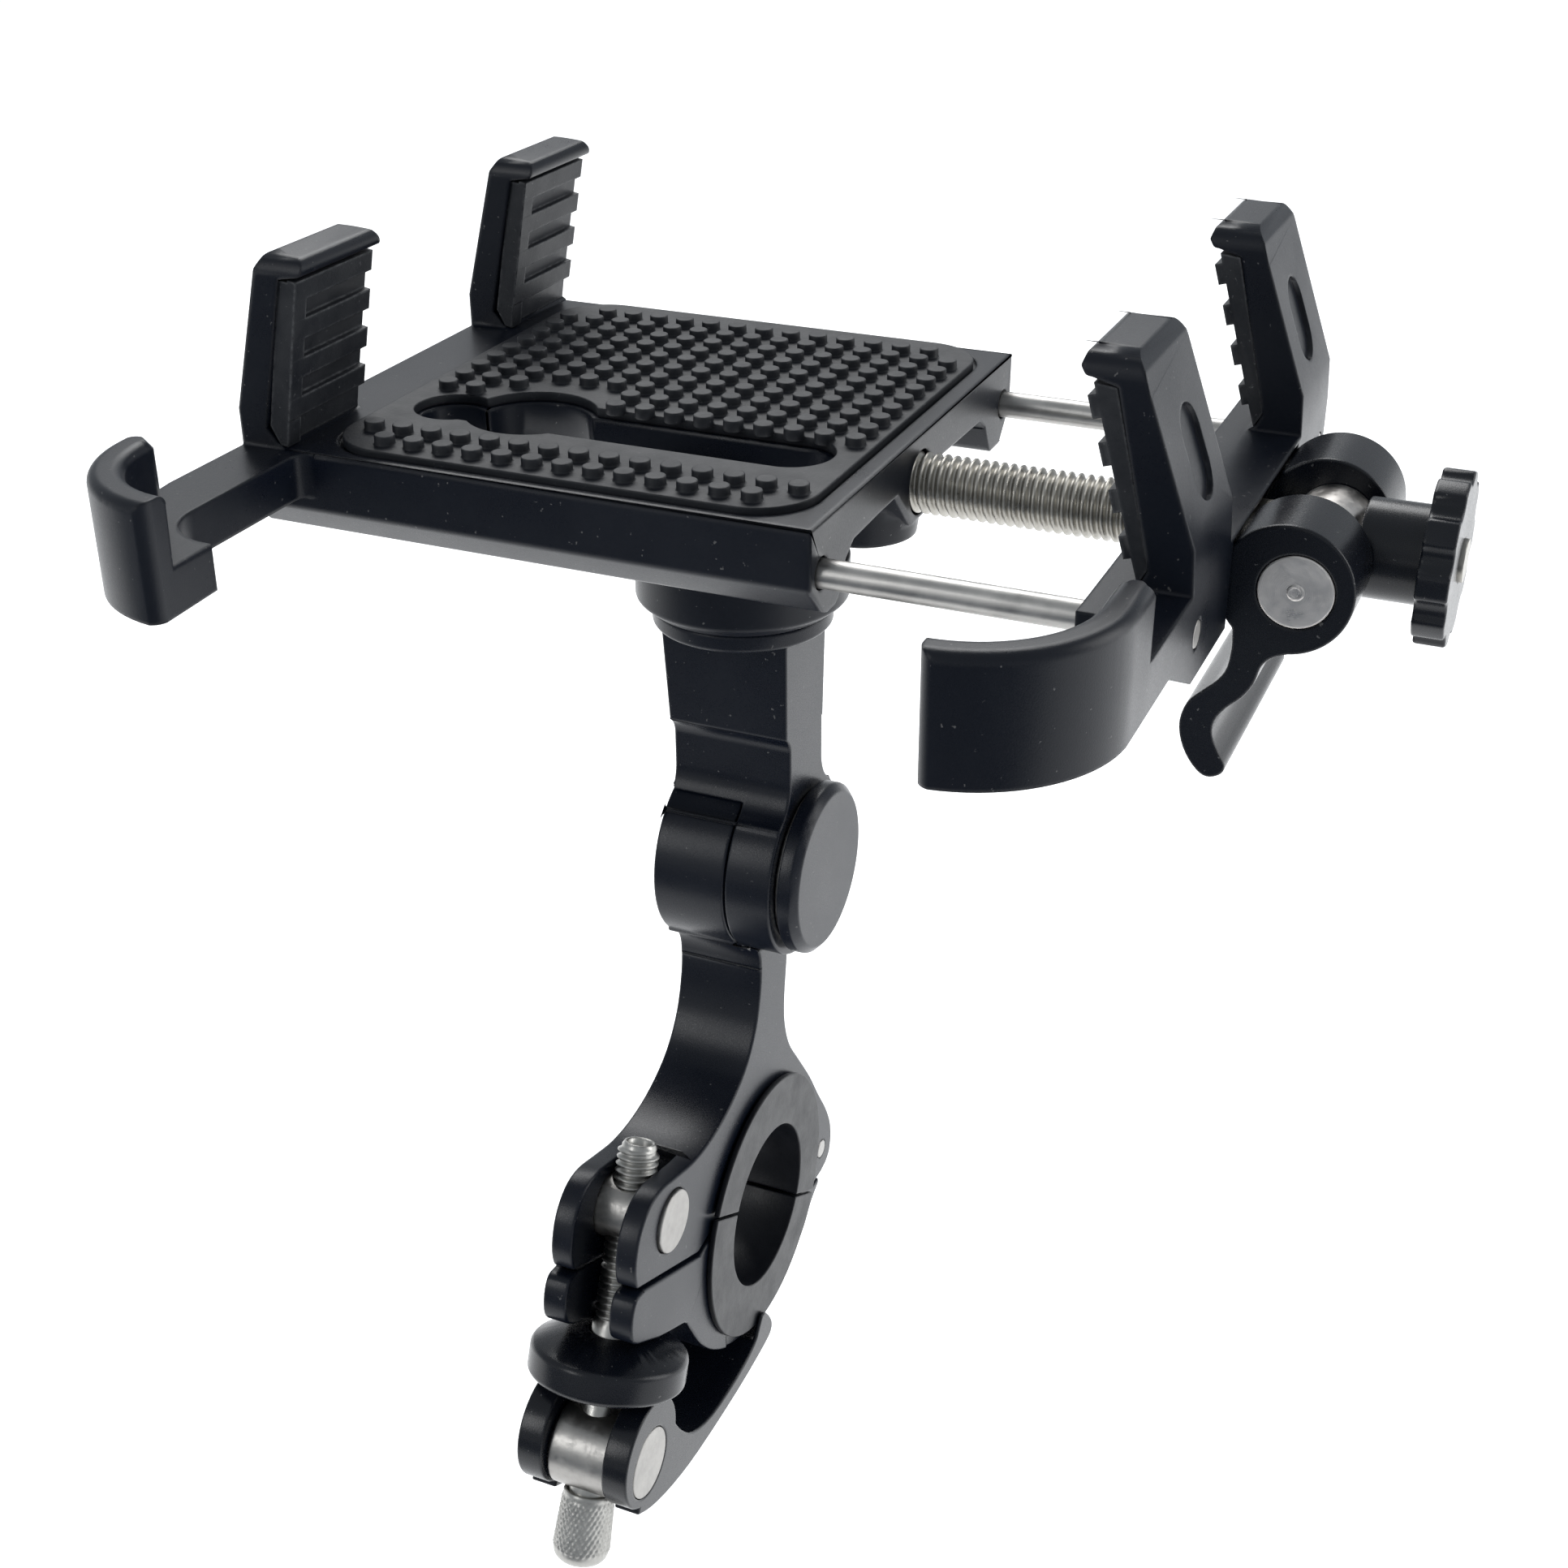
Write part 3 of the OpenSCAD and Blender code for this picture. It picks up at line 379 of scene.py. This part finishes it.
def eased(node, material, width):
    """Stands in for a CAD node, with its machined edges broken as the real piece has them."""
    for share, shortest in EASING_TRIES:
        bm, sound = rounded_copy(node, width * share, shortest)
        if sound:
            break
        bm.free()
    name = node + "_shape"
    piece = show(finished(bm, name), name, material, node, [node],
                 SMOOTH_ANGLE if share else PLAIN_SMOOTH_ANGLE)
    weighted = piece.modifiers.new("even_shading", "WEIGHTED_NORMAL")
    weighted.keep_sharp = True


def on_ring(place, radius, angle, height):
    """A point at an angle round local Z."""
    return place @ Vector((radius * math.cos(angle), radius * math.sin(angle), height))


def lathe(profile, place, segments=64):
    """A closed turned body: (radius, height) points spun round local Z, ends on the axis."""
    bm = bmesh.new()
    rings = []
    for radius, height in profile:
        if radius < ON_AXIS:
            rings.append([bm.verts.new(place @ Vector((0, 0, height)))])
        else:
            rings.append([bm.verts.new(on_ring(place, radius, 2 * math.pi * i / segments, height))
                          for i in range(segments)])
    for low, high in zip(rings, rings[1:]):
        for i in range(segments):
            j = (i + 1) % segments
            corners = [low[i % len(low)], low[j % len(low)],
                       high[j % len(high)], high[i % len(high)]]
            unique = list(dict.fromkeys(corners))
            if len(unique) > 2:
                bm.faces.new(unique)
    return bm


def add_helix(bm, place, start, length, crest, depth, pitch, segments=40):
    """A closed thread ridge wound on a core, fading out at both ends."""
    count = int(length / pitch * segments)
    fade_steps = FADE_TURNS * segments
    previous = None
    for k in range(count + 1):
        angle = 2 * math.pi * k / segments
        fade = min(1.0, k / fade_steps, (count - k) / fade_steps)
        centre = start + pitch * k / segments
        ring = []
        for across, up in RIDGE:
            radius = crest - depth + depth * (up * fade - 0.12 * (1 - fade))
            height = centre + pitch * across * (0.35 + 0.65 * fade)
            ring.append(bm.verts.new(on_ring(place, radius, angle, height)))
        if previous:
            for i in range(len(RIDGE)):
                j = (i + 1) % len(RIDGE)
                bm.faces.new((previous[i], previous[j], ring[j], ring[i]))
        else:
            bm.faces.new(ring)
        previous = ring
    bm.faces.new(list(reversed(previous)))


# ---------------------------------------------------------------- pieces

# Local Z down the clamp stud, from its upper pin.
STUD_PLACE = Matrix.Translation(CLAMP_PIN) @ Matrix.Rotation(math.pi - STUD_TILT, 4, "X")

# The CAD nodes shown by their own mesh, their material, and how wide their edges are rounded,
# in millimetres.
EASED_NODES = (
    (("base_plate", "carriage"), BLACK, 0.45),
    (("swivel_collar",), BLACK, 0.3),
    (("upper_arm", "lower_arm", "clamp_lower"), ARM_BLACK, 0.35),
    (("swivel_ring", "hinge_cap"), ARM_BLACK, 0.2),
    (("phone_lever", "clamp_lever", "pressure_dish", "knob"), LEVER_BLACK, 0.3),
    (("bar_insert_upper", "bar_insert_lower"), INSERT_BLACK, 0.15),
    (("grip_pad",), GRIP_RUBBER, 0.14),
    (("jaw_pad_left_near", "jaw_pad_left_far", "jaw_pad_right_near", "jaw_pad_right_far"),
     JAW_RUBBER, 0),
    (("guide_rod_near", "guide_rod_far"), ROD_STEEL, 0),
    (("wear_plate",), PLATE_STEEL, 0.1),
    (("phone_trunnion",), LEVER_PIN_STEEL_PAINTED_HIGHLIGHT, 0.2),
    (("clamp_trunnion",), CLAMP_PIN_STEEL, 0.2),
    (("lever_trunnion",), CAM_PIN_STEEL, 0.2),
    (("clamp_hinge_pin",), ROD_STEEL, 0.2),
    (("screw_nut", "swivel_bolt", "hinge_bolt", "hinge_washer"), ROD_STEEL, 0.1),
)


def dress_frame():
    for nodes, material, width in EASED_NODES:
        for node in nodes:
            eased(node, material, width)


def make_lead_screw():
    """The lead screw with a real helix, a plain shoulder and the neck that the knob holds."""
    low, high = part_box("lead_screw")
    length = high.x - low.x
    crest = (high.z - low.z) / 2
    depth, pitch = 0.66 * MM, 1.25 * MM
    root = crest - depth
    threaded, shoulder, neck = 55 * MM, 64.8 * MM, 2.6 * MM
    run_in, run_out = 1.2 * MM, 0.4 * MM
    chamfer = 0.6 * MM
    along_x = Matrix.Rotation(math.pi / 2, 4, "Y")
    place = Matrix.Translation((low.x, SCREW_AXIS.y, SCREW_AXIS.z)) @ along_x
    bm = lathe([(0, 0), (root - 0.5 * MM, 0), (root, chamfer), (root, threaded),
                (crest, threaded + chamfer), (crest, shoulder), (neck, shoulder), (neck, length),
                (0, length)], place)
    add_helix(bm, place, run_in, threaded - run_in - run_out, crest, depth, pitch)
    show(finished(bm, "lead_screw_thread"), "lead_screw_thread", SCREW_STEEL, "lead_screw",
         ["lead_screw"], THREAD_SMOOTH_ANGLE)


def make_stud():
    """The clamp stud with a real helix at its top and a socket in its end."""
    crest, depth, pitch = 3.0 * MM, 0.52 * MM, 1.0 * MM
    root = crest - depth
    top, bottom, threaded = -9.8 * MM, 49.2 * MM, 26 * MM
    socket, socket_depth = 1.7 * MM, 2.6 * MM
    run_in, run_out = 0.9 * MM, 0.4 * MM
    chamfer, rim = 0.5 * MM, 0.2 * MM
    bm = lathe([(0, top + socket_depth), (socket, top + socket_depth), (socket, top + rim),
                (socket + rim, top), (root - 0.3 * MM, top), (root, top + chamfer),
                (root, top + threaded), (crest, top + threaded + chamfer), (crest, bottom),
                (0, bottom)], STUD_PLACE, segments=48)
    add_helix(bm, STUD_PLACE, top + run_in, threaded - run_in - run_out, crest, depth, pitch,
              segments=36)
    show(finished(bm, "clamp_stud_thread"), "clamp_stud_thread", STUD_STEEL, "clamp_stud",
         ["clamp_stud"], THREAD_SMOOTH_ANGLE)


def make_knurled_nut():
    """A round nut with crossed knurling and a domed end."""
    segments, rows, dome_steps = 144, 46, 9
    teeth, tooth_depth, tooth_length, steepness = 30, 0.20 * MM, 1.41 * MM, 3.2
    run_out = 0.5 * MM
    radius, neck, bore = 4.2 * MM, 3.5 * MM, 3.0 * MM
    dome_inset, dome_height = 2.4 * MM, 2.0 * MM
    pin = (CAM_PIN - CLAMP_PIN).length
    face, chamfer = pin + 6.5 * MM, pin + 6.9 * MM
    start, end = pin + 7.2 * MM, pin + 15.4 * MM
    knurl_neck = neck + 0.3 * MM

    # Each section is a radius, a place along the stud, and whether knurling is cut into it.
    sections = [(bore, face, False), (neck, face, False), (neck + 0.2 * MM, chamfer, False)]
    for i in range(rows + 1):
        sections.append((knurl_neck + (radius - knurl_neck) * i / rows,
                         start + (end - start) * i / rows, True))
    for i in range(1, dome_steps):
        angle = math.pi / 2 * i / dome_steps
        sections.append((radius - tooth_depth - dome_inset * (1 - math.cos(angle)),
                         end + dome_height * math.sin(angle), False))

    bm = bmesh.new()
    rings = []
    for section_radius, t, knurled in sections:
        ring = []
        for i in range(segments):
            cut = 0
            if knurled:
                u = teeth * i / segments
                v = (t - start) / tooth_length
                left, right = (u + v) % 1, (u - v) % 1
                height = min(1, steepness * min(left, 1 - left), steepness * min(right, 1 - right))
                fade = min(1, (t - start) / run_out, (end - t) / run_out)
                cut = tooth_depth * (1 - height * fade)
            angle = 2 * math.pi * i / segments
            ring.append(bm.verts.new(on_ring(STUD_PLACE, section_radius - cut, angle, t)))
        rings.append(ring)
    for low, high in zip(rings, rings[1:]):
        for i in range(segments):
            j = (i + 1) % segments
            bm.faces.new((low[i], low[j], high[j], high[i]))
    bm.faces.new(rings[-1])
    bm.faces.new(list(reversed(rings[0])))
    show(finished(bm, "knurled_nut_shape"), "knurled_nut_shape", STUD_STEEL, "knurled_nut",
         ["knurled_nut"], KNURL_SMOOTH_ANGLE)


def make_centre_marks():
    """The small turned centre pips on the two faces of the phone lever's cross pin."""
    pip = [(0, -0.06 * MM), (0.45 * MM, -0.02 * MM), (0.62 * MM, 0.05 * MM),
           (0.95 * MM, 0.05 * MM), (1.1 * MM, -0.05 * MM), (1.1 * MM, -0.3 * MM), (0, -0.3 * MM)]
    low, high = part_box("phone_trunnion")
    pin_x, pin_z = 78.6 * MM, centre_of("phone_trunnion").z
    for name, face_y, turn in (("lever_pin_mark_near", low.y, math.pi / 2),
                               ("lever_pin_mark_far", high.y, -math.pi / 2)):
        place = Matrix.Translation((pin_x, face_y, pin_z)) @ Matrix.Rotation(turn, 4, "X")
        # The pips share the lever pin's paler steel, with its painted highlight.
        show(finished(lathe(pip, place, 40), name), name, LEVER_PIN_STEEL_PAINTED_HIGHLIGHT, "phone_trunnion")


# ---------------------------------------------------------------- stage
# Lengths and places are in metres, and powers in watts.

FLOOR_DROP = 0.11
LIGHT_AIM = (0.02, 0.0, 0.07)
# Name, size, place and power of each softbox.
SOFTBOXES = (
    ("key_softbox", (0.8, 0.6), (-0.35, 0.75, 0.95), 9),
    ("side_softbox", (0.7, 0.9), (1.05, 0.5, 0.45), 6),
    ("front_fill", (0.25, 0.5), (-0.5, -0.9, 0.55), 2),
)


def matte(name, colour, rough, emit=0.0):
    """A plain, faintly clouded paint for the floor and the flag."""
    n = Nodes(name)
    shade = tuple(c * 0.985 for c in colour)
    n.link(n.ramp(n.noise(2.0, 2), [(0.2, colour), (0.8, shade)]), n.shader.inputs["Base Color"])
    n.set(Roughness=rough)
    if emit:
        n.set(Emission_Color=(1, 1, 1, 1), Emission_Strength=emit)
    return n.mat


def aim_at(obj, location, target):
    """Puts an object at a place, with its -Z towards a target."""
    obj.location = location
    obj.rotation_mode = "QUATERNION"
    obj.rotation_quaternion = (Vector(target) - Vector(location)).to_track_quat("-Z", "Y")


def lying_card(name, size, location, material):
    """A flat sheet that is part of the studio, not of the mount."""
    bm = bmesh.new()
    bmesh.ops.create_grid(bm, x_segments=1, y_segments=1, size=0.5)
    mesh = finished(bm, name)
    mesh.materials.append(material)
    piece = bpy.data.objects.new(name, mesh)
    piece.scale = (*size, 1)
    x, y, z = location
    aim_at(piece, location, (x, y, z - 1))
    bpy.context.scene.collection.objects.link(piece)
    return piece


def softbox(name, size, location, power):
    data = bpy.data.lights.new(name, "AREA")
    data.shape = "RECTANGLE"
    data.size, data.size_y = size
    data.energy = power
    lamp = bpy.data.objects.new(name, data)
    aim_at(lamp, location, LIGHT_AIM)
    lamp.visible_camera = False
    bpy.context.scene.collection.objects.link(lamp)


def make_stage():
    """A pale floor under soft light, and a grey flag that only glossy reflections see."""
    floor_z = CAD_BOX[0][2] - FLOOR_DROP
    lying_card("floor", (40, 40), (0, 0, floor_z),
               matte("floor_white", (0.93, 0.93, 0.93), 0.6, emit=0.62))
    flag = lying_card("grey_flag", (3.0, 2.0), (-0.3, -1.25, floor_z + 0.01),
                      matte("flag_grey", (0.17, 0.19, 0.22), 0.9))
    flag.visible_camera = flag.visible_diffuse = flag.visible_shadow = False
    world = bpy.data.worlds.new("studio")
    bpy.context.scene.world = world
    world.use_nodes = True
    sky = world.node_tree.nodes["Background"]
    sky.inputs["Color"].default_value = (0.89, 0.945, 1.0, 1)
    sky.inputs["Strength"].default_value = 0.50
    for box in SOFTBOXES:
        softbox(*box)


def make_camera():
    """A 50 mm lens held 0.35 m from the mount, a little above it and to its right."""
    place = (0.1159, -0.2424, 0.2161)
    azimuth, elevation, roll = (math.radians(a) for a in (23.46, 28.23, -0.22))
    back = Vector((math.sin(azimuth) * math.cos(elevation),
                   -math.cos(azimuth) * math.cos(elevation), math.sin(elevation)))
    right = Vector((math.cos(azimuth), math.sin(azimuth), 0))
    up = back.cross(right)
    turned_right = right * math.cos(roll) + up * math.sin(roll)
    turned_up = up * math.cos(roll) - right * math.sin(roll)
    rotation = Matrix((turned_right, turned_up, back)).transposed()
    camera = bpy.data.objects.new("camera", bpy.data.cameras.new("camera"))
    camera.data.lens = 50
    camera.data.sensor_width = 36
    camera.data.clip_start = 0.01
    camera.matrix_world = Matrix.Translation(place) @ rotation.to_4x4()
    bpy.context.scene.collection.objects.link(camera)
    bpy.context.scene.camera = camera


dress_frame()
make_lead_screw()
make_stud()
make_knurled_nut()
make_centre_marks()
make_stage()
make_camera()
bpy.context.scene.view_settings.view_transform = "Standard"
